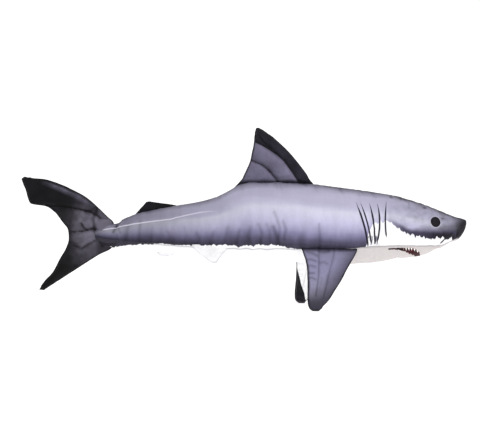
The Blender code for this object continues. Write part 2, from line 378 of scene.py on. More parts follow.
body = {
    "columns": 96,
    "sideColumns": 34,      # from the back seam to the side seam
    "spacing": 4.2,         # mm between rings
    "cloth": 1.2,           # mm
    "seamDepth": 2.4,
    "seamWidth": 4.2,
    "backSeamDepth": 1.2,
    "pinReach": 6,          # cloth this near a seam is held while it swells
    "pinnedAhead": 598,
    "pinnedBehind": -325,
    "puckerDepth": 3.0,
    "puckerReach": 30,
    # painted shade and light on the puckers beside the seams
    "puckerPaintedShade": 0.42,
    "widestBelow": 0.04,
    "rootFrom": -328,       # mm: from here on the cloth is sewn to the tail fin and is cut off as the tail root pieces
    "cover": {"stiffness": 14, "bending": 0.35, "pressure": 4.0, "spare": 0.035, "steps": 20, "cap": 3.0},
    # x, top, bottom, side seam and half width, snout first
    "rows": (
        (627.4, -6, -8, -7, 0.4),
        (626, 0, -14, -11, 8),
        (621, 2, -29, -24, 15),
        (612, 5, -44, -38, 22),
        (602, 7, -54, -47, 28),
        (579, 15, -63, -58, 39),
        (541, 30, -81, -71, 53),
        (494, 47, -96, -71, 66),
        (424, 67, -105, -70, 79),
        (354, 78, -114, -71, 87),
        (263, 90, -118, -78, 91),
        (202, 97, -114, -79, 91),
        (95, 101.5, -109, -78, 88),
        (35, 101.5, -108, -78, 83),
        (0, 95, -107, -77, 79.5),
        (-22, 84, -106, -77, 76),
        (-61, 64, -103.5, -76, 71),
        (-110, 50, -99, -74, 62.5),
        (-160, 41, -91, -71, 52.5),
        (-214, 31, -84, -67, 42.5),
        (-271, 19, -79, -63, 32),
        (-307, 5, -75.5, -60, 25),
        (-339, -10, -73, -57, 17),
        (-350, -11, -71, -56, 13.5),
        (-362, -13, -68, -54, 10.5),
        (-376, -20, -62, -50, 8),
        (-388, -30, -52, -46, 5),
    ),
    # soft folds of the side panels: dented, and painted with shade
    "folds": (
        fold(((60, -10), (68, -28), (72, -66)), 2.2, 7, 12, 0.24),
        fold(((80, 22), (86, 8), (95, -20), (94, -48)), 2.6, 6, 12, 0.34),
        fold(((78, -18), (86, -40), (96, -66)), 3.2, 9, 14, 0.48),
        fold(((104, -4), (112, -26), (108, -50)), 2.4, 6, 12, 0.30),
        fold(((40, -12), (50, -34), (46, -62)), 1.8, 7, 12, 0.24),
        fold(((140, -14), (146, -44), (142, -66)), 1.2, 7, 10, 0.08),
        fold(((198, -12), (201, -45), (203, -78)), 2.6, 6, 14, 0.34),
        fold(((-10, -26), (-16, -64)), 1.8, 7, 10, 0.24),
        fold(((-40, -20), (-48, -64)), 1.8, 8, 10, 0.22),
        fold(((-76, -30), (-84, -64)), 1.8, 8, 10, 0.26),
        fold(((-298, -14), (-304, -52)), 1.6, 6, 8, 0.24),
        fold(((-266, -6), (-272, -54)), 1.6, 6, 8, 0.22),
        fold(((-322, -4), (-331, -16), (-338, -32)), 3.0, 5, 9, 0.62),
        fold(((-331, -16), (-322, -24), (-319, -34)), 2.0, 4, 8, 0.40),
        fold(((446, 58), (452, 44), (449, 32)), 1.6, 4, 10, 0.22),
        fold(((20, -20), (14, -40), (22, -64)), 1.8, 7, 10, 0.22),
        fold(((-120, -34), (-112, -48), (-118, -64)), 1.8, 7, 10, 0.26),
        fold(((-150, -20), (-146, -40), (-152, -62)), 1.4, 7, 10, 0.16),
        fold(((-196, -30), (-188, -44), (-196, -60)), 1.6, 7, 10, 0.22),
        fold(((-234, -18), (-240, -58)), 1.4, 6, 8, 0.16),
    ),
}


def bodyStations():
    rows = np.array(body["rows"], float)
    jumps = np.diff(rows, axis=0)
    lengths = np.sqrt(jumps[:, 0] ** 2 + 0.5 * jumps[:, 1] ** 2 + 0.5 * jumps[:, 2] ** 2)
    knots = np.concatenate([[0.0], np.cumsum(lengths)])
    curves = [smoothCurve(knots, rows[:, i]) for i in range(5)]
    places = list(np.arange(0, 44, 2.6)) + list(np.arange(44, knots[-1], body["spacing"])) + [knots[-1]]
    return [[float(curve(place)) for curve in curves] for place in places]


def bodyRing(row):
    # points of one ring, from the back round the right side, the belly and the left side
    x, top, bottom, seam, half = row
    middle = (top + bottom) / 2 - body["widestBelow"] * (top - bottom)
    upper = top - middle
    lower = middle - bottom
    seamAngle = math.pi / 2 + math.asin(min(0.97, max(-0.5, (middle - seam) / lower)))
    count = body["columns"]
    side = body["sideColumns"]
    ring = []
    for column in range(count):
        mirrored = min(column, count - column)
        if mirrored <= side:
            angle = seamAngle * mirrored / side
        else:
            angle = seamAngle + (math.pi - seamAngle) * (mirrored - side) / (count / 2 - side)
        tall = upper if math.cos(angle) > 0 else lower
        hand = -1 if column <= count / 2 else 1
        ring.append((x * mm, hand * half * math.sin(angle) * mm, (middle + tall * math.cos(angle)) * mm))
    return ring


def buildSkin():
    stations = bodyStations()
    count = body["columns"]
    side = body["sideColumns"]
    bm = bmesh.new()
    columnLayer = bm.verts.layers.int.new("column")
    rowLayer = bm.verts.layers.int.new("row")
    panelLayer = bm.faces.layers.int.new("panel")
    bmesh.ops.create_circle(bm, cap_ends=False, radius=1.0, segments=count)
    ring = sorted(bm.verts, key=lambda v: math.atan2(v.co.y, v.co.x))
    edges = list(bm.edges)
    for column, vert in enumerate(ring):
        vert[columnLayer] = column
    for number, row in enumerate(stations):
        if number > 0:
            grown = bmesh.ops.extrude_edge_only(bm, edges=edges)["geom"]
            ring = [part for part in grown if isinstance(part, bmesh.types.BMVert)]
            here = set(ring)
            edges = [part for part in grown if isinstance(part, bmesh.types.BMEdge)]
            edges = [edge for edge in edges if edge.verts[0] in here and edge.verts[1] in here]
        points = bodyRing(row)
        for vert in ring:
            vert.co = points[vert[columnLayer]]
            vert[rowLayer] = number
    rootRow = next(number for number, row in enumerate(stations) if row[0] < body["rootFrom"])
    for face in bm.faces:
        columns = sorted(vert[columnLayer] for vert in face.verts)
        low = columns[0]
        if columns[-1] - low > count / 2:
            low = count - 1
        face[panelLayer] = 0 if low < side else (2 if low < count - side else 1)
        if min(vert[rowLayer] for vert in face.verts) >= rootRow:
            face[panelLayer] = 3 if low < count / 2 else 4
    first = [vert for vert in bm.verts if vert[rowLayer] == 0]
    bmesh.ops.pointmerge(bm, verts=first, merge_co=Vector(stations[0][:1] + [0, -7]) * mm)
    bmesh.ops.recalc_face_normals(bm, faces=bm.faces)
    bm.verts.ensure_lookup_table()

    # what the print and the relief need to know about each point
    rest = np.array([vert.co[:] for vert in bm.verts])
    column = np.array([vert[columnLayer] for vert in bm.verts])
    mirrored = np.minimum(column, count - column)
    half = count / 2
    girth = np.where(mirrored <= side, mirrored / side, 1 + (mirrored - side) / (half - side))
    rows = np.array(body["rows"], float)
    order = np.argsort(rows[:, 0])
    widthAt = np.interp(rest[:, 0] / mm, rows[order, 0], rows[order, 4])
    tallAt = np.interp(rest[:, 0] / mm, rows[order, 0], rows[order, 1] - rows[order, 2])
    sideLength = 1.15 * np.hypot(widthAt, 0.55 * tallAt) * mm
    bellyLength = 1.05 * np.hypot(0.75 * widthAt, 0.22 * tallAt) * mm
    seamAway = np.where(girth <= 1, (1 - girth) * sideLength, (girth - 1) * bellyLength)
    backAway = girth * sideLength
    skin = newObject("sharkSkin", bm)

    pinReach = body["pinReach"] * mm
    pinned = np.maximum(np.exp(-((seamAway / pinReach) ** 2)), np.exp(-((backAway / pinReach) ** 2)))
    ends = (rest[:, 0] > body["pinnedAhead"] * mm) | (rest[:, 0] < body["pinnedBehind"] * mm)
    pinned = np.maximum(pinned, ends)
    pinned = np.where(pinned > 0.4, 1.0, 0.0)
    puffCloth(skin, pinned, body["cover"])

    # seams pull in, the cloth beside them puckers, and the folds are laid in; the folds and puckers are also
    # painted into the colour as shade and light
    moved = positions(skin.data)
    normals = np.array([vert.normal[:] for vert in skin.data.vertices])
    x = rest[:, 0]
    z = rest[:, 2]
    dent, shade = foldMarks(x, z, body["folds"])
    onSide = np.clip((1.05 - girth) * 20, 0, 1)
    dent = dent * onSide
    shade = shade * onSide
    seamWidth = body["seamWidth"] * mm
    seam = np.exp(-((seamAway / seamWidth) ** 2)) * body["seamDepth"] * mm
    seam += np.exp(-((backAway / seamWidth) ** 2)) * body["backSeamDepth"] * mm
    fade = np.clip((0.61 - x) / 0.08, 0, 1) * np.clip((x + 0.375) / 0.05, 0, 1)
    pucker = np.array([
        noise.noise(Vector((px * 62, 3.1 + 0.8 * g, 7.7 if y > 0 else 1.3)))
        + 0.5 * noise.noise(Vector((px * 140, 9.1, 2.7 if y > 0 else 5.3)))
        for px, y, g in zip(x, rest[:, 1], girth)
    ])
    busy = 0.6 + 0.9 * np.exp(-(((x - 0.07) / 0.12) ** 2)) + 0.4 * np.exp(-(((x + 0.28) / 0.08) ** 2))
    gather = pucker * busy * np.exp(-seamAway / (body["puckerReach"] * mm))
    moved = moved + normals * (body["puckerDepth"] * mm * gather * fade - seam * fade - dent)[:, None]
    # painted shade in the pucker hollows and painted light on their crests
    shade = shade + body["puckerPaintedShade"] * gather * fade * onSide
    skin.data.vertices.foreach_set("co", moved.ravel())
    skin.data.update()
    writeFields(skin.data, rest, {"girth": girth, "seamAway": seamAway, "shade": shade})
    return skin


def writeFields(mesh, rest, fields):
    place = mesh.attributes.new("print", "FLOAT_VECTOR", "POINT")
    place.data.foreach_set("vector", rest.astype(np.float32).ravel())
    for name, values in fields.items():
        field = mesh.attributes.new(name, "FLOAT", "POINT")
        field.data.foreach_set("value", np.asarray(values, np.float32))


sidePrint = {
    # from the back (0) to the side seam (1): the print, with a painted highlight band across the middle of
    # the side and painted shade deepening the dark of the lower side
    "printWithPaintedShading": (
        (0.00, (60, 58, 70)), (0.07, (90, 87, 104)), (0.16, (146, 142, 164)), (0.28, (182, 179, 203)),
        (0.41, (183, 180, 204)), (0.47, (189, 187, 210)), (0.53, (205, 204, 222)), (0.59, (200, 198, 220)),
        (0.64, (190, 187, 215)), (0.68, (177, 174, 203)), (0.725, (157, 154, 185)), (0.77, (134, 130, 163)),
        (0.82, (108, 105, 134)), (0.87, (84, 80, 104)), (0.93, (63, 60, 78)), (1.00, (60, 57, 68)),
    ),
    # strength of the print along the body
    "along": ((-390, 0.14), (-370, 0.30), (-350, 0.44), (-330, 0.43), (-293, 0.41), (-241, 0.49),
              (-214, 0.52), (-108, 0.73), (0, 0.85), (60, 0.88),
              (165, 0.96), (305, 0.98), (425, 0.85), (505, 0.74), (565, 0.64), (600, 0.55), (640, 0.42)),
    # how far the dark of the lower side climbs
    "lower": ((-390, 0.01), (-250, 0.02), (-60, 0.03), (70, 0.02), (160, -0.01),
              (250, -0.035), (640, -0.035)),
    # where the dark cloth ends above the side seam
    "edge": ((-390, -82), (-345, -73), (-297, -67), (-241, -65), (-207, -63), (-175, -66), (-136, -67),
             (-46, -66), (-7, -69), (40, -65), (71, -66), (98, -69), (151, -79), (231, -92),
             (318, -92), (326, -74), (330, -42), (335, -21), (346, -9), (374, -3),
             (382, -5), (393, -8), (412, -21), (426, -29), (450, -40), (479, -45), (521, -48), (552, -50),
             (570, -50), (584, -53), (592, -92), (640, -92)),
    "lateral": ((-370, -27), (-320, -18), (-278, -11), (-193, 1), (-111, 19), (-89, 22), (-7, 26)),
    # gill slits: x = a + b z + c z2, from top to bottom, half width
    "gills": (
        (313.9, -0.265, 0.0, 50, -72, 2.6),
        (324.6, -0.241, 0.0, 48, -64, 2.0),
        (343.0, -0.120, 0.0, 46, -66, 2.4),
        (361.0, 0.010, -0.0012, 46, -58, 2.2),
        (376.5, 0.060, 0.0029, 50, -47, 2.0),
    ),
    "eye": (521.5, -5.2, 15.6, 13.4),
    "dots": ((497, 32, 4), (436, 58, 3), (404, 60, 4), (548, 6, 3)),
    "nostril": (548, -55),
}


def sideMaterial():
    material, tree = emptyMaterial("dusk print")
    place = attributeOf(tree, "print", "Vector")
    girth = attributeOf(tree, "girth")
    shade = attributeOf(tree, "shade")
    seamAway = attributeOf(tree, "seamAway")
    parts = addNode(tree, "ShaderNodeSeparateXYZ", {"Vector": place})
    x = times(tree, parts.outputs["X"], 1 / mm)
    z = times(tree, parts.outputs["Z"], 1 / mm)

    # brushed tones of the print with its painted highlight and shade, streaked along the body
    streak = noiseOf(tree, place, 30.0, 4.0, (0.16, 1.0, 1.0))
    cloud = noiseOf(tree, place, 11.0, 3.0)
    wander = timesPlus(tree, minus(tree, streak, 0.5), 0.10, girth)
    wander = timesPlus(tree, minus(tree, cloud, 0.5), 0.07, wander)
    wander = plus(tree, wander, levelOf(tree, x, -390, 640, sidePrint["lower"]))
    colour = rampOf(tree, wander, sidePrint["printWithPaintedShading"])
    strength = levelOf(tree, x, -390, 640, sidePrint["along"])
    grain = remap(tree, noiseOf(tree, place, 420.0, 2.0, (0.5, 1.0, 1.0)), 0.25, 0.75, 0.965, 1.035)
    tone = times(tree, strength, grain)
    # painted shade and light of the folds and puckers
    tone = times(tree, tone, plus(tree, shade, 1.0))
    blotch = remap(tree, noiseOf(tree, place, 46.0, 3.0, (1.0, 0.4, 0.4)), 0.3, 0.7, -1.0, 1.0)
    lowSide = remap(tree, girth, 0.45, 0.8, 0.03, 0.11)
    tone = times(tree, tone, timesPlus(tree, blotch, lowSide, 1.0))
    brushed = remap(tree, streak, 0.3, 0.7, 0.955, 1.045)
    tone = times(tree, tone, brushed)
    headCloud = remap(tree, noiseOf(tree, place, 30.0, 5.0, (0.8, 1.0, 1.2)), 0.34, 0.66, 0.68, 1.17)
    onHead = remap(tree, x, 380.0, 450.0)
    tone = times(tree, tone, remap(tree, onHead, 0.0, 1.0, 1.0, headCloud))

    brow = times(tree, remap(tree, girth, 0.02, 0.26, 0.5, 0.0), remap(tree, x, 200.0, 400.0))
    tone = times(tree, tone, minus(tree, 1.0, brow))

    # gill slits, darker at the core, with a raised ridge beside each that is painted paler as a highlight
    slitDark = 0.0
    slitRidgeAndHighlight = 0.0
    for a, b, c, top, bottom, half in sidePrint["gills"]:
        line = timesPlus(tree, z, b, a)
        line = timesPlus(tree, times(tree, z, z), c, line)
        away = minus(tree, x, line)
        # 0 at the ends of the slit and 1 along its middle
        reach = calc(tree, "MINIMUM", remap(tree, z, top, top - 34.0), remap(tree, z, bottom, bottom + 9.0))
        width = timesPlus(tree, reach, half, 0.01)
        core = remap(tree, calc(tree, "DIVIDE", calc(tree, "ABSOLUTE", away), width), 0.75, 1.3, 1.0, 0.0)
        core = times(tree, core, remap(tree, reach, 0.0, 0.12))
        slitDark = calc(tree, "MAXIMUM", slitDark, core)
        ridgeAndHighlight = calc(tree, "COMPARE", away, 6.0, 3.2)
        ridgeAndHighlight = times(tree, ridgeAndHighlight, reach)
        slitRidgeAndHighlight = calc(tree, "MAXIMUM", slitRidgeAndHighlight, ridgeAndHighlight)
    # painted highlight on the ridge beside each slit
    tone = times(tree, tone, timesPlus(tree, slitRidgeAndHighlight, 0.07, 1.0))
    colour = toned(tree, colour, tone)

    # pale lateral line
    lateral = levelOf(tree, x, -370, -7, sidePrint["lateral"])
    lateralAway = awayFrom(tree, z, lateral)
    lateralMark = remap(tree, lateralAway, 0.8, 2.0, 0.75, 0.0)
    lateralMark = times(tree, lateralMark, remap(tree, x, -110.0, -60.0, 1.0, 0.0))
    lateralMark = times(tree, lateralMark, remap(tree, x, -368.0, -358.0))
    colour = dyed(tree, colour, lateralMark, (214, 210, 226))

    # snout: dark to its point
    snoutCloud = swing(tree, cloud, 30.0)
    snout = plus(tree, timesPlus(tree, z, -0.9, x), snoutCloud)
    snout = remap(tree, snout, 568.0, 624.0, smooth=True)
    colour = dyed(tree, colour, times(tree, snout, 0.96), (20, 16, 21))

    # ragged edge between the dark cloth and the white
    ragged = noiseOf(tree, place, 120.0, 5.0, (1.0, 0.1, 0.22))
    ragged = swing(tree, ragged, 58.0)
    wide = swing(tree, noiseOf(tree, place, 24.0, 2.0), 14.0)
    edgeX = plus(tree, x, times(tree, ragged, 0.2))
    edge = levelOf(tree, edgeX, -390, 640, sidePrint["edge"])
    rough = remap(tree, x, 300.0, 400.0, 0.27, 0.60)
    rimAway = minus(tree, z, plus(tree, swing(tree, cloud, 26.0), edge))
    edge = timesPlus(tree, plus(tree, ragged, wide), rough, edge)
    whiteArea = remap(tree, minus(tree, edge, z), -0.8, 0.8)
    aboveEdge = minus(tree, z, edge)
    rimReach = remap(tree, x, 380.0, 560.0, 11.0, 42.0)
    darkRim = remap(tree, calc(tree, "DIVIDE", rimAway, rimReach), 0.2, 1.0, 0.94, 0.0, True)
    darkRim = times(tree, darkRim, remap(tree, x, 372.0, 430.0))
    colour = dyed(tree, colour, darkRim, (60, 55, 76))
    nearRim = timesPlus(tree, rimAway, 0.7, times(tree, aboveEdge, 0.3))
    blackRim = remap(tree, nearRim, 6.0, 19.0, 0.9, 0.0, True)
    blackRim = times(tree, blackRim, remap(tree, x, 470.0, 530.0, 0.15, 1.0))
    blackRim = times(tree, blackRim, remap(tree, x, 390.0, 440.0))
    colour = dyed(tree, colour, blackRim, (20, 17, 24))
    chalk = rampOf(tree, noiseOf(tree, place, 34.0, 4.0), ((0.35, (238, 237, 240)), (0.6, (250, 250, 251))))
    colour = blendColour(tree, whiteArea, colour, chalk)
    smear = remap(tree, noiseOf(tree, place, 150.0, 3.0, (1.0, 0.1, 0.25)), 0.50, 0.55)
    smear = times(tree, smear, remap(tree, awayFrom(tree, x, 346.0), 15.0, 20.0, 1.0, 0.0))
    smear = times(tree, smear, remap(tree, awayFrom(tree, z, -54.0), 9.0, 14.0, 0.85, 0.0))
    colour = dyed(tree, colour, smear, (84, 80, 100))
    colour = dyed(tree, colour, slitDark, (34, 31, 46))

    # nostril mark
    nx, nz = sidePrint["nostril"]
    lean = times(tree, minus(tree, z, nz), 0.8)
    slash = minus(tree, minus(tree, x, nx), lean)
    slash = remap(tree, calc(tree, "ABSOLUTE", slash), 1.6, 3.2, 1.0, 0.0)
    slash = times(tree, slash, remap(tree, awayFrom(tree, z, nz), 7.0, 10.0, 1.0, 0.0))
    colour = dyed(tree, colour, slash, (40, 34, 42))

    for dotX, dotZ, size in sidePrint["dots"]:
        offX = minus(tree, x, dotX)
        offZ = times(tree, minus(tree, z, dotZ), 1.6)
        far = calc(tree, "SQRT", timesPlus(tree, offX, offX, times(tree, offZ, offZ)))
        spot = remap(tree, far, size, size + 3.0, 0.55, 0.0)
        colour = dyed(tree, colour, spot, (44, 40, 54))

    # eye with a thin pale ring
    ex, ez, rx, rz = sidePrint["eye"]
    dx = calc(tree, "DIVIDE", minus(tree, x, ex), rx)
    dz = calc(tree, "DIVIDE", minus(tree, z, ez), rz)
    round2 = plus(tree, times(tree, dx, dx), times(tree, dz, dz))
    radius = calc(tree, "SQRT", round2)
    ring = remap(tree, radius, 1.10, 1.26, 0.6, 0.0)
    colour = dyed(tree, colour, ring, (196, 192, 208))
    iris = rampOf(tree, radius, (
        (0.0, (24, 22, 27)), (0.55, (30, 28, 34)), (0.8, (20, 18, 23)), (1.0, (16, 14, 18))))
    colour = blendColour(tree, remap(tree, radius, 0.97, 1.05, 1.0, 0.0), colour, iris)

    # seam line with its stitches
    colour, stitches = sewnSeam(
        tree, colour, seamAway, parts.outputs["X"], 0.0022, 0.5, (70, 66, 80), 0.35, (120, 116, 132))
    relief = times(tree, slitDark, -0.9)
    relief = timesPlus(tree, slitRidgeAndHighlight, 0.35, relief)
    relief = timesPlus(tree, stitches, -0.25, relief)
    closeMaterial(tree, colour, place, relief)
    return material


bellyPrint = {
    # the mouth: how far from the middle its outer and inner edges run, from corner to front
    "mouthOuter": ((380, 69), (389, 67.5), (420, 63), (446, 58.5), (457, 56), (470, 51),
                   (483, 38), (491, 22), (495, 0)),
    "mouthInner": ((380, 69), (389, 65.4), (420, 58.6), (434, 53.5), (446, 46), (457, 38),
                   (470, 28), (480, 10), (483, 0)),
    "toothPitch": 7.5,
}


def bellyMaterial():
    material, tree = emptyMaterial("chalk cloth")
    place = attributeOf(tree, "print", "Vector")
    seamAway = attributeOf(tree, "seamAway")
    parts = addNode(tree, "ShaderNodeSeparateXYZ", {"Vector": place})
    x = times(tree, parts.outputs["X"], 1 / mm)
    y = calc(tree, "ABSOLUTE", times(tree, parts.outputs["Y"], 1 / mm))
    cloud = noiseOf(tree, place, 16.0, 4.0, (0.5, 1.0, 1.0))
    colour = rampOf(tree, cloud, ((0.3, (236, 234, 238)), (0.55, (248, 247, 249)), (0.75, (252, 252, 252))))
    # painted shade under the jaw and head, from x 230 mm forward
    underJawShade = remap(tree, x, 230.0, 300.0, 0.0, 0.9, True)
    colour = dyed(tree, colour, underJawShade, (200, 193, 192))

    # the mouth: a wide arch with teeth, thin at its corners
    wobble = swing(tree, noiseOf(tree, place, 150.0, 3.0), 6.0)
    outer = levelOf(tree, x, 380, 496, bellyPrint["mouthOuter"])
    inner = levelOf(tree, x, 380, 496, (*bellyPrint["mouthInner"], (496, 0)))
    fromOuter = minus(tree, timesPlus(tree, wobble, 0.3, outer), y)
    fromInner = minus(tree, y, plus(tree, inner, wobble))
    between = times(tree, remap(tree, x, 388.0, 392.0), remap(tree, x, 494.0, 496.0, 1.0, 0.0))
    inMouth = times(tree, remap(tree, fromOuter, -0.5, 0.5), remap(tree, fromInner, -0.5, 0.5))
    inMouth = times(tree, inMouth, between)
    lips = times(tree, remap(tree, fromOuter, -1.0, -0.3), remap(tree, fromInner, -2.6, -0.8))
    lips = times(tree, lips, between)
    lips = times(tree, lips, remap(tree, x, 438.0, 456.0, 0.0, 0.6))
    colour = dyed(tree, colour, lips, (150, 66, 78))
    gum = rampOf(tree, noiseOf(tree, place, 70.0, 3.0), ((0.38, (12, 4, 6)), (0.62, (66, 12, 20))))
    colour = blendColour(tree, inMouth, colour, gum)
    half = bellyPrint["toothPitch"] / 2
    tooth = calc(tree, "PINGPONG", timesPlus(tree, y, 0.35, x), half)
    upper = calc(tree, "GREATER_THAN", timesPlus(tree, tooth, 2.6, -3.4), fromOuter)
    shift = minus(tree, half, tooth)
    lower = calc(tree, "GREATER_THAN", timesPlus(tree, shift, 1.3, -2.4), fromInner)
    teeth = times(tree, calc(tree, "MAXIMUM", upper, lower), inMouth)
    teeth = times(tree, teeth, remap(tree, x, 432.0, 444.0))
    colour = dyed(tree, colour, teeth, (244, 240, 236))

    # dark cloth wraps under the point of the snout
    ragged = swing(tree, noiseOf(tree, place, 80.0, 4.0), 22.0)
    snout = remap(tree, plus(tree, x, ragged), 594.0, 602.0)
    colour = dyed(tree, colour, snout, (44, 38, 46))
    colour, stitches = sewnSeam(
        tree, colour, seamAway, parts.outputs["X"], 0.0020, 0.4, (150, 147, 154), 0.3, (176, 174, 180))
    # the dark print reaches under the tail stock
    z = times(tree, parts.outputs["Z"], 1 / mm)
    edge = levelOf(tree, x, -390, 640, sidePrint["edge"])
    frayed = swing(tree, noiseOf(tree, place, 120.0, 5.0, (1.0, 0.1, 0.22)), 13.0)
    under = remap(tree, minus(tree, z, plus(tree, edge, frayed)), -0.8, 0.8)
    under = times(tree, under, remap(tree, x, -150.0, -170.0))
    colour = dyed(tree, colour, under, (56, 53, 64))
    closeMaterial(tree, colour, place, times(tree, stitches, -0.25))
    return material


def finShell(name, fin):
    # both faces of a fin as one closed pillow, pinched along its quilted lines
    rows = np.array(fin["rows"], float)
    middles = (rows[:, 0:2] + rows[:, 2:4]) / 2
    steps = np.hypot(*np.diff(middles, axis=0).T)
    knots = np.concatenate([[0.0], np.cumsum(np.maximum(steps, 0.5))])
    curves = [smoothCurve(knots, rows[:, i]) for i in range(5)]
    bm = bmesh.new()
    panelLayer = bm.faces.layers.int.new("panel")
    handLayer = bm.verts.layers.int.new("hand")
    for number in (0, 1):
        known = set(bm.verts)
        oldFaces = set(bm.faces)
        bmesh.ops.create_grid(bm, x_segments=fin["across"], y_segments=fin["along"], size=1.0)
        for face in bm.faces:
            if face not in oldFaces:
                face[panelLayer] = number
        for vert in bm.verts:
            if vert not in known:
                vert[handLayer] = number
    bm.verts.ensure_lookup_table()
    grid = np.array([vert.co[:] for vert in bm.verts])
    hand = np.array([vert[handLayer] for vert in bm.verts])
    u = np.clip((grid[:, 0] + 1) / 2, 0, 1)
    v = np.clip((grid[:, 1] + 1) / 2, 0, 1) * knots[-1]
    frontX, frontZ, rearX, rearZ, half = [curve(v) for curve in curves]
    x = (frontX + (rearX - frontX) * u) * mm
    z = (frontZ + (rearZ - frontZ) * u) * mm
    chord = np.hypot(rearX - frontX, rearZ - frontZ) * mm
    edgeAway = np.minimum(u, 1 - u) * chord
    tipAway = (knots[-1] - v) * mm
    rootAway = v * mm
    rim = np.clip(4 * u * (1 - u), 0, 1) ** fin.get("crown", 0.6)
    tipSoft = fin.get("tipSoft", 22) * mm
    rim = rim * (1 - (1 - np.clip(tipAway / tipSoft, 0, 1)) ** 2)
    if fin.get("twoTips"):
        rim = rim * (1 - (1 - np.clip(rootAway / tipSoft, 0, 1)) ** 2)
        outline = np.minimum(edgeAway, np.minimum(tipAway, rootAway))
    else:
        pinch = fin.get("rootPinch", 30) * mm
        soft = np.clip(rootAway / pinch, 0, 1)
        rim = rim * soft * soft * (3 - 2 * soft)
        outline = np.minimum(edgeAway, tipAway)
    thick = half * mm * rim
    quiltAway = np.full(len(x), 1.0)
    quiltRun = np.zeros(len(x))
    for quilt in fin.get("quilts", ()):
        away, along = lineDistance(x, z, quilt["line"])[:2]
        nearer = away < quiltAway
        quiltAway[nearer] = away[nearer]
        quiltRun[nearer] = along[nearer]
        thick = thick * (1 - quilt["pinch"] * np.exp(-((away / (quilt["width"] * mm)) ** 2)))
    # the folds dent the fin, and the folds and quilted lines leave painted shade and light in its colour
    dent, shade = foldMarks(x, z, fin.get("folds", ()))
    thick = np.maximum(thick - dent * np.clip(outline / 0.01, 0, 1), thick * 0.25)
    shade = shade + foldMarks(x, z, fin.get("quilts", ()))[1]
    sign = np.where(hand == 0, -1.0, 1.0)
    y = fin["spine"](x, z) + sign * thick
    for vert, px, py, pz in zip(bm.verts, x, y, z):
        vert.co = (px, py, pz)
    place = bm.verts.layers.float_vector.new("print")
    fields = {"edgeAway": outline, "rootAway": rootAway, "quiltAway": quiltAway, "quiltRun": quiltRun}
    fields["shade"] = shade
    layers = {key: bm.verts.layers.float.new(key) for key in fields}
    for index, vert in enumerate(bm.verts):
        vert[place] = vert.co
        for key, layer in layers.items():
            vert[layer] = float(fields[key][index])
    bmesh.ops.remove_doubles(bm, verts=bm.verts, dist=0.02 * mm)
    bmesh.ops.recalc_face_normals(bm, faces=bm.faces)
    held = []
    for vert in bm.verts:
        onRim = len({face[panelLayer] for face in vert.link_faces}) > 1
        nearQuilt = vert[layers["quiltAway"]] < 0.0032
        held.append(1.0 if onRim or nearQuilt else 0.0)
    shell = newObject(name, bm)
    puffCloth(shell, held, fin["cover"])
    return shell


def flatSpine(x, z):
    return np.zeros(len(x))


finCover = {"stiffness": 12, "bending": 0.25, "pressure": 3.0, "spare": 0.03, "steps": 20, "cap": 2.2}

dorsal = {
    "across": 54,
    "along": 52,
    "spine": flatSpine,
    "rootPinch": 34,
    "cover": finCover,
    "rows": (
        (206, 90, -26, 74, 8),
        (199, 99, -12, 91, 9),
        (188, 112, 7, 112, 10),
        (183, 121, 11, 121, 10.5),
        (169, 140, 20, 140, 10.5),
        (154, 159, 28, 159, 11),
        (134, 182, 33, 182, 10.5),
        (107, 208, 38, 208, 9.5),
        (83, 228, 40, 228, 7.5),
        (64, 241, 41.5, 240, 5.5),
        (51.5, 248.8, 45, 248, 3.5),
    ),
    # quilted lines, each with painted shade in its groove and painted shading on the puffed panels above and
    # below it
    "quilts": (
        fold(((36, 212), (60, 201), (80, 189), (102, 174), (120, 158), (143, 127), (163, 96)),
             0, 7, 26, 0.66, -0.06, 0.85),
        fold(((27, 161), (40, 156), (57, 149), (72, 138), (84, 126), (106, 97)), 0, 6, 20, 0.66, -0.34, 0.50),
        fold(((46, 240), (52, 226), (62, 212), (88, 190), (104, 174)), 0, 4, 9, 0.34, 0.06, -0.12),
    ),
    "folds": (
        fold(((110, 128), (92, 134), (78, 134)), 0.8, 5, 8, 0.10, 0.05, -0.05),
        fold(((132, 116), (108, 113), (96, 116)), 0.8, 5, 8, 0.10, 0.05, 0.08),
    ),
}

secondDorsal = {
    "tipSoft": 5,
    "across": 24,
    "along": 14,
    "spine": flatSpine,
    "rootPinch": 10,
    "cover": finCover,
    "rows": (
        (-158, 30, -286, 8, 3.6),
        (-170, 39, -276, 20, 3.6),
        (-198, 43.5, -266, 31, 3.4),
        (-224, 47, -258, 40, 2.8),
        (-244, 50, -251, 48, 1.8),
    ),
}

analFin = {
    "tipSoft": 4,
    "across": 16,
    "along": 10,
    "spine": flatSpine,
    "rootPinch": 6,
    "cover": finCover,
    "rows": (
        (-170, -82, -226, -78, 2.4),
        (-176, -90, -222, -87, 2.6),
        (-186, -94, -219, -91, 2.6),
        (-197, -97, -211, -96, 1.8),
    ),
}

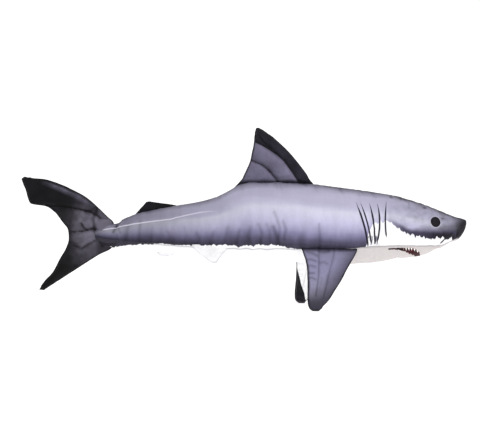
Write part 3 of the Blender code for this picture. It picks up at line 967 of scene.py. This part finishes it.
tailFin = {
    "across": 44,
    "along": 110,
    "spine": flatSpine,
    "twoTips": True,
    "crown": 0.55,
    "cover": finCover,
    "rows": (
        (-570, 113.5, -577, 108, 3),
        (-545, 110, -571, 93, 5),
        (-514, 106, -566, 81, 7),
        (-462, 88, -558, 54, 9),
        (-450, 82, -553, 44, 9.2),
        (-437, 75.5, -541, 41, 9.6),
        (-410, 60, -517, 37, 10.5),
        (-354, 9, -490, 21, 11),
        (-337, -9, -472, -3, 11),
        (-334, -40, -456, -26, 10.5),
        (-340, -70, -454, -48, 10),
        (-378, -93, -460, -71, 10),
        (-426, -124, -476, -100, 9),
        (-474, -155, -495, -136, 7),
        (-506, -176, -520, -165, 5.5),
        (-519, -184, -531, -183, 4),
    ),
    # creases, each with painted shade in it and painted shading on either side
    "folds": (
        fold(((-374, 2), (-384, 12), (-409, 21), (-428, 26), (-452, 31), (-474, 34), (-512, 36)),
             6, 7, 22, 0.66, -0.62, 0.40),
        fold(((-462, -35), (-449, -33), (-419, -31), (-398, -28), (-380, -30)),
             4.5, 6, 14, 0.72, -0.40, 0.35),
        fold(((-421, -8), (-414, -20), (-405, -23), (-391, -20)), 3.5, 5, 8, 0.80, 0.30, -0.30),
        fold(((-380, 30), (-391, 3), (-387, -18), (-381, -38), (-370, -49), (-366, -69)),
             5, 8, 9, 0.88, 0.10, 0.10),
        fold(((-381, -34), (-374, -44), (-364, -52)), 3, 6, 8, 0.70),
        fold(((-440, -66), (-420, -74), (-402, -62), (-383, -52)), 3.5, 7, 12, 0.60, 0.20, -0.25),
        fold(((-466, -62), (-448, -58), (-430, -62)), 2.5, 6, 10, 0.45, 0.10, -0.15),
        fold(((-386, 34), (-396, 24), (-412, 20)), 2, 7, 8, 0.55),
    ),
}


def rightPectoralSpine(x, z):
    # leans out to its tip, and its root edge is tucked under the cloth of the side
    lean = -(0.076 + (0.083 + z) * (0.113 - 0.076) / (-0.236 + 0.083))
    return lean + 0.012 * np.clip((z + 0.079) / 0.012, 0, 1)


def mirroredSpine(spine):
    def left(x, z):
        return -spine(x, z)

    return left


pectoral = {
    "across": 40,
    "along": 48,
    "rootPinch": 26,
    "cover": finCover,
    "rows": (
        (306, -66, 152, -66, 8),
        (303, -80, 157, -80, 9),
        (298, -90, 160, -90, 9.5),
        (290, -103, 164, -103, 10),
        (273, -130, 168, -130, 10.5),
        (256, -158, 168, -158, 10.5),
        (240, -181, 167, -181, 9.5),
        (223, -205, 166, -205, 7.5),
        (208, -221, 167, -221, 6),
        (200, -230, 171, -230, 5),
        (194, -235.5, 179, -235.5, 3.6),
    ),
    "quilts": (
        fold(((201, -60), (199, -100), (196, -144), (190, -178), (186, -196)), 0, 5, 14, 0.30, pinch=0.35),
        fold(((246, -60), (236, -100), (222, -144), (211, -184), (206, -200)), 0, 5, 14, 0.20, pinch=0.45),
    ),
    "folds": (
        fold(((168, -84), (180, -87), (194, -94)), 2.4, 5, 7, 0.48, 0.06, 0.12),
        fold(((168, -104), (178, -103), (190, -108)), 2.2, 5, 7, 0.44, 0.06, 0.12),
        fold(((168, -121), (176, -119), (188, -123)), 2.2, 5, 7, 0.44, 0.06, 0.12),
        fold(((168, -137), (176, -139), (184, -138)), 2.2, 5, 7, 0.50, 0.06, 0.12),
        fold(((168, -152), (178, -150), (186, -154)), 2.0, 5, 7, 0.50, 0.06, 0.12),
        fold(((203, -84), (214, -86), (226, -82)), 2.2, 5, 7, 0.42, 0.06, 0.12),
        fold(((201, -112), (210, -110), (220, -114)), 1.8, 6, 7, 0.34, 0.06, 0.12),
        fold(((204, -150), (200, -166), (196, -184)), 1.2, 5, 8, 0.14, 0.05, 0.08),
    ),
}


def rightPelvicSpine(x, z):
    return -(0.0555 + 0.30 * np.maximum(-0.076 - z, -0.012))


pelvic = {
    "tipSoft": 6,
    "across": 20,
    "along": 14,
    "rootPinch": 12,
    "cover": finCover,
    "rows": (
        (-36, -66, -132, -64, 2.8),
        (-40, -76, -128, -73, 3),
        (-48, -86, -118, -84, 3),
        (-59, -99, -99, -98, 2.8),
        (-68, -113, -82, -112, 2),
    ),
}


def finMaterial(name, style, hemColour, hemStrength, threadColour, grooveShade=0.55, **options):
    # the style gives colour and tone; the painted shading of folds and quilts, the hem, a painted shadow at
    # the root, painted shade in the quilted grooves and the stitches go over them
    material, tree = emptyMaterial(name)
    place = attributeOf(tree, "print", "Vector")
    shade = attributeOf(tree, "shade")
    edgeAway = attributeOf(tree, "edgeAway")
    quiltAway = attributeOf(tree, "quiltAway")
    parts = addNode(tree, "ShaderNodeSeparateXYZ", {"Vector": place})
    x = times(tree, parts.outputs["X"], 1 / mm)
    z = times(tree, parts.outputs["Z"], 1 / mm)
    colour, tone = style(tree, place, x, z)
    # painted shade and light of the folds and quilted panels
    tone = times(tree, tone, timesPlus(tree, shade, options.get("shadeShare", 1.0), 1.0))
    grain = remap(tree, noiseOf(tree, place, 360.0, 2.0, (1.0, 1.0, 0.5)), 0.25, 0.75, 0.94, 1.06)
    colour = toned(tree, colour, times(tree, tone, grain))
    hem = remap(tree, edgeAway, 0.0012, options.get("hemWidth", 0.0055), hemStrength, 0.0)
    colour = dyed(tree, colour, hem, hemColour)
    # painted shadow where the fin meets the body
    if "rootDark" in options:
        low = options["rootDark"]
        rootShadowLine = remap(tree, attributeOf(tree, "rootAway"), low, low + 0.009, 0.9, 0.0)
        colour = dyed(tree, colour, rootShadowLine, hemColour)
    # painted shade in the quilted grooves
    colour = dyed(tree, colour, remap(tree, quiltAway, 0.0006, 0.0026, grooveShade, 0.0), hemColour)
    stitches = stitchMarks(tree, quiltAway, attributeOf(tree, "quiltRun"))
    colour = dyed(tree, colour, times(tree, stitches, 0.5), threadColour)
    along = plus(tree, parts.outputs["X"], parts.outputs["Z"])
    hemStitches = stitchMarks(tree, edgeAway, along, offset=4.0)
    colour = dyed(tree, colour, times(tree, hemStitches, 0.3), threadColour)
    closeMaterial(tree, colour, place, times(tree, calc(tree, "MAXIMUM", stitches, hemStitches), -0.3))
    return material


def dorsalStyle(tree, place, x, z):
    # charcoal in front of the first quilted line, violet grey behind it
    line = levelOf(tree, z, 80, 250, (
        (80, 176), (96, 163), (127, 143), (158, 120), (174, 102), (189, 80), (212, 36), (250, 20)))
    front = remap(tree, minus(tree, x, line), -2.0, 2.0)
    cloud = noiseOf(tree, place, 22.0, 3.0)
    behind = rampOf(tree, cloud, ((0.3, (82, 78, 94)), (0.7, (104, 100, 121))))
    lead = rampOf(tree, cloud, ((0.3, (20, 19, 26)), (0.7, (46, 44, 56))))
    colour = blendColour(tree, front, behind, lead)
    tip = remap(tree, z, 205.0, 232.0, 0.0, 0.75, True)
    colour = dyed(tree, colour, tip, (26, 25, 29))
    rear = remap(tree, z, 96.0, 112.0, 0.5, 0.0)
    rear = times(tree, rear, remap(tree, x, 10.0, 60.0, 1.0, 0.3))
    colour = dyed(tree, colour, rear, (56, 52, 62))
    return colour, 1.0


def tailStyle(tree, place, x, z):
    # black at both tips, violet grey and patchy towards the root
    patch = remap(tree, noiseOf(tree, place, 38.0, 4.0), 0.32, 0.68, 0.62, 1.34)
    cloud = noiseOf(tree, place, 18.0, 4.0)
    reach = timesPlus(tree, minus(tree, cloud, 0.5), 40.0, x)
    colour = rampOf(tree, remap(tree, reach, -520.0, -340.0), (
        (0.0, (10, 10, 12)), (0.22, (18, 17, 20)), (0.38, (38, 36, 41)), (0.53, (96, 92, 104)),
        (0.85, (100, 96, 110)), (1.0, (98, 94, 109))))
    low = remap(tree, z, -125.0, -24.0, 0.92, 0.0)
    colour = dyed(tree, colour, low, (14, 14, 16))
    high = remap(tree, z, 20.0, 44.0, 0.0, 0.86)
    high = times(tree, high, remap(tree, x, -400.0, -370.0, 1.0, 0.3))
    colour = dyed(tree, colour, high, (15, 14, 18))
    # a paler band follows the upper leading edge: a painted highlight
    edgeAway = attributeOf(tree, "edgeAway")
    leadEdgeHighlight = remap(tree, edgeAway, 0.014, 0.030, 1.0, 0.0)
    leadEdgeHighlight = times(tree, leadEdgeHighlight, remap(tree, edgeAway, 0.005, 0.012))
    leadEdgeHighlight = times(tree, leadEdgeHighlight, remap(tree, z, 22.0, 50.0))
    leadEdgeHighlight = times(tree, leadEdgeHighlight, remap(tree, x, -530.0, -490.0))
    leadEdgeHighlight = times(tree, leadEdgeHighlight, remap(tree, timesPlus(tree, x, 0.55, z), -250.0, -200.0))
    colour = dyed(tree, colour, times(tree, leadEdgeHighlight, 0.75), (92, 88, 104))
    # the print of the stock runs on over the root
    root = rampOf(tree, remap(tree, z, -80.0, 10.0), (
        (0.0, (44, 41, 48)), (0.22, (52, 48, 57)), (0.34, (66, 62, 74)), (0.46, (92, 88, 103)),
        (0.56, (104, 100, 116)), (0.64, (98, 94, 108)), (0.78, (92, 88, 100)), (1.0, (96, 92, 105))))
    onRoot = times(tree, remap(tree, x, -390.0, -372.0, smooth=True), remap(tree, z, 14.0, 2.0))
    colour = blendColour(tree, onRoot, colour, root)
    return colour, blendTone(tree, onRoot, patch)


def blendTone(tree, factor, tone):
    # tone where the factor is 0 and no change where it is 1
    return timesPlus(tree, minus(tree, 1.0, tone), factor, tone)


def inkStyle(tree, place, x, z):
    cloud = noiseOf(tree, place, 30.0, 3.0)
    return rampOf(tree, cloud, ((0.3, (14, 13, 17)), (0.7, (24, 23, 29)))), 1.0


def chalkStyle(tree, place, x, z):
    cloud = noiseOf(tree, place, 20.0, 3.0)
    return rampOf(tree, cloud, ((0.3, (234, 233, 236)), (0.7, (250, 249, 250)))), 1.0


def pectoralStyle(tree, place, x, z):
    cloud = noiseOf(tree, place, 20.0, 4.0, (1.0, 1.0, 0.4))
    along = timesPlus(tree, minus(tree, cloud, 0.5), 18.0, z)
    colour = rampOf(tree, remap(tree, along, -76.0, -236.0), (
        (0.0, (96, 93, 116)), (0.07, (128, 125, 152)), (0.30, (136, 133, 163)), (0.60, (138, 135, 160)),
        (0.74, (116, 113, 131)), (0.84, (74, 72, 83)), (0.94, (44, 42, 48)), (1.0, (32, 30, 35))))
    # darker down its leading edge
    lead = minus(tree, x, timesPlus(tree, z, 0.71, 366.0))
    leadReach = remap(tree, z, -120.0, -200.0, -46.0, -66.0)
    lead = calc(tree, "DIVIDE", lead, leadReach)
    colour = dyed(tree, colour, remap(tree, lead, 1.0, 0.0, 0.0, 0.9), (62, 59, 72))
    return colour, 1.0


def innerStyle(tree, place, x, z):
    # white lining with a black tip
    cloud = noiseOf(tree, place, 60.0, 4.0)
    colour = rampOf(tree, cloud, ((0.3, (246, 245, 247)), (0.7, (253, 253, 253))))
    line = timesPlus(tree, minus(tree, x, 176.0), -3.0, -158.0)
    line = timesPlus(tree, minus(tree, cloud, 0.5), 26.0, line)
    tip = remap(tree, minus(tree, line, z), -1.5, 1.5)
    colour = dyed(tree, colour, tip, (27, 25, 30))
    return colour, 1.0


print("body skin")
skin = buildSkin()
duskPrint = sideMaterial()
chalkCloth = bellyMaterial()
bellyNodes = ("trunk_belly_panel", "tail_belly_panel", "trunk_filling", "tail_filling")
panels = (
    ("sharkSideRight", 0, duskPrint, "dusk_print", ("trunk_panel_right", "tail_panel_right")),
    ("sharkSideLeft", 1, duskPrint, "dusk_print", ("trunk_panel_left", "tail_panel_left")),
    ("sharkBelly", 2, chalkCloth, "chalk_cloth", bellyNodes),
)
for name, number, material, slot, nodes in panels:
    panel = panelOf(skin, name, number, body["cloth"])
    dress(panel, material, nodes)
    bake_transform(panel)
    print("  panel", name, len(panel.data.polygons))
for name, number in (("tailRootRight", 3), ("tailRootLeft", 4)):
    panel = panelOf(skin, name, number, body["cloth"])
    dress(panel, duskPrint, ())
    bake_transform(panel)
bpy.data.objects.remove(skin)

print("fins")
slatePrint = finMaterial(
    "slate print", dorsalStyle, (16, 14, 19), 0.92, (128, 124, 140), grooveShade=0.8, rootDark=0.0205)
inkPrint = finMaterial("ink print", tailStyle, (8, 8, 10), 0.95, (86, 82, 94))
darkPrint = finMaterial("dark print", inkStyle, (12, 12, 14), 0.9, (86, 82, 94))
chalkFin = finMaterial("chalk fin", chalkStyle, (206, 204, 210), 0.6, (190, 188, 194))
duskFin = finMaterial(
    "dusk fin", pectoralStyle, (20, 18, 24), 1.0, (124, 120, 138),
    grooveShade=0.2, hemWidth=0.0062, rootDark=0.010)
chalkLining = finMaterial(
    "chalk lining", innerStyle, (44, 41, 47), 0.85, (170, 168, 174),
    grooveShade=0.1, hemWidth=0.0028, shadeShare=0.3)
finCloth = 1.0   # mm

# shell name, its shape, bodies joined, start and end of the bend, then each face:
# name, side of the shell, material, slot and the solids that it stands for
fins = []
for key, fin, near, start, end, node, material, slot, filling in (
    ("dorsal", dorsal, "trunk", (95, 0, 94), (95, 0, 128), "dorsal_fin", slatePrint, "slate_print", True),
    ("secondDorsal", secondDorsal, "tail_stock", (-222, 0, 24), (-222, 0, 40),
     "second_dorsal_fin", darkPrint, "ink_print", False),
    ("anal", analFin, "tail_stock", (-198, 0, -82), (-198, 0, -92),
     "anal_fin", chalkFin, "chalk_cloth", False),
    ("tail", tailFin, "tail_stock", (-330, 0, -35), (-385, 0, -35), "tail_fin", inkPrint, "ink_print", True),
):
    faces = []
    for number, hand in enumerate(("Right", "Left")):
        nodes = [f"{node}_{hand.lower()}_face"]
        if filling and hand == "Right":
            nodes.append(f"{node}_filling")
        faces.append((f"{key}Fin{hand}", number, material, slot, nodes))
    fins.append((f"{key}Shell", fin, near, node, start, end, faces))

# the paired fins: y is given for the left one
for key, fin, rightSpine, start, end, outer, inner, filling in (
    ("pectoral", pectoral, rightPectoralSpine, (230, 72, -72), (230, 82, -108),
     (duskFin, "dusk_print"), (chalkLining, "chalk_cloth"), True),
    ("pelvic", pelvic, rightPelvicSpine, (-84, 54, -68), (-84, 58, -86),
     (chalkFin, "chalk_cloth"), (chalkFin, "chalk_cloth"), False),
):
    for hand, sign in (("Right", -1), ("Left", 1)):
        side = hand.lower()
        node = f"{key}_fin_{side}"
        outside = 0 if hand == "Right" else 1
        nodes = [f"{node}_outer_face"]
        if filling:
            nodes.append(f"{node}_filling")
        faces = (
            (f"{key}Fin{hand}Outer", outside, *outer, nodes),
            (f"{key}Fin{hand}Inner", 1 - outside, *inner, [f"{node}_inner_face"]),
        )
        shape = dict(fin, spine=rightSpine if hand == "Right" else mirroredSpine(rightSpine))
        bendStart = (start[0], sign * start[1], start[2])
        bendEnd = (end[0], sign * end[1], end[2])
        fins.append((f"{side}{key.title()}Shell", shape, "trunk", node, bendStart, bendEnd, faces))

for shellName, fin, near, far, start, end, faces in fins:
    shell = finShell(shellName, fin)
    for name, number, material, slot, nodes in faces:
        face = panelOf(shell, name, number, finCloth)
        dress(face, material, nodes)
        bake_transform(face)
    bpy.data.objects.remove(shell)
    print("  fin", shellName)


studio = {
    "distance": 2.4,
    "turn": 5.8,          # degrees
    "lens": 66.89,
    "skyLight": 0.80,
    "floorGlow": 0.38,
    "keyPower": 16.0,
    "fillPower": 5.0,
}


def areaLight(name, place, target, size, power):
    data = bpy.data.lights.new(name, "AREA")
    data.shape = "SQUARE"
    data.size = size
    data.energy = power
    lamp = bpy.data.objects.new(name, data)
    lamp.location = place
    lamp.rotation_euler = (Vector(target) - Vector(place)).to_track_quat("-Z", "Y").to_euler()
    bpy.context.scene.collection.objects.link(lamp)
    return lamp


def buildStudio():
    scene = bpy.context.scene
    turn = math.radians(studio["turn"])
    sight = Vector((math.sin(turn), math.cos(turn), 0))
    right = Vector((math.cos(turn), -math.sin(turn), 0))
    up = Vector((0, 0, 1))
    axes = Matrix((right, up, -sight)).transposed().to_4x4()
    data = bpy.data.cameras.new("studioCamera")
    data.sensor_width = 36.0
    data.lens = studio["lens"]
    data.clip_end = 60.0
    camera = bpy.data.objects.new("studioCamera", data)
    camera.matrix_world = stance @ Matrix.Translation(-studio["distance"] * sight) @ axes
    scene.collection.objects.link(camera)
    scene.camera = camera

    areaLight("keyLight", (0.35, -1.9, 2.1), (0.0, 0.0, 0.25), 2.4, studio["keyPower"])
    areaLight("fillLight", (-0.5, 2.0, 1.8), (0.0, 0.0, 0.25), 2.4, studio["fillPower"])

    world = bpy.data.worlds.new("studioWorld")
    world.use_nodes = True
    scene.world = world
    tree = world.node_tree
    tree.nodes.clear()
    path = addNode(tree, "ShaderNodeLightPath", {})
    strength = timesPlus(tree, path.outputs["Is Camera Ray"], 0.4, studio["skyLight"])
    sky = addNode(tree, "ShaderNodeBackground", {"Color": (1.0, 1.0, 1.0, 1.0), "Strength": strength})
    addNode(tree, "ShaderNodeOutputWorld", {"Surface": sky.outputs["Background"]})

    bm = bmesh.new()
    bmesh.ops.create_grid(bm, x_segments=4, y_segments=4, size=9.0)
    floor = newObject("studioFloor", bm)
    paper, tree = emptyMaterial("studio paper")
    place = addNode(tree, "ShaderNodeTexCoord", {}).outputs["Object"]
    tint = rampOf(tree, noiseOf(tree, place, 3.0, 2.0), ((0.3, (250, 250, 250)), (0.7, (253, 253, 253))))
    shader = addNode(tree, "ShaderNodeBsdfPrincipled", {
        "Base Color": tint,
        "Roughness": 0.9,
        "Specular IOR Level": 0.1,
        "Emission Color": (1.0, 1.0, 1.0, 1.0),
        "Emission Strength": studio["floorGlow"],
    })
    addNode(tree, "ShaderNodeOutputMaterial", {"Surface": shader.outputs["BSDF"]})
    floor.data.materials.append(paper)
    scene.view_settings.view_transform = "Standard"


print("studio")
buildStudio()
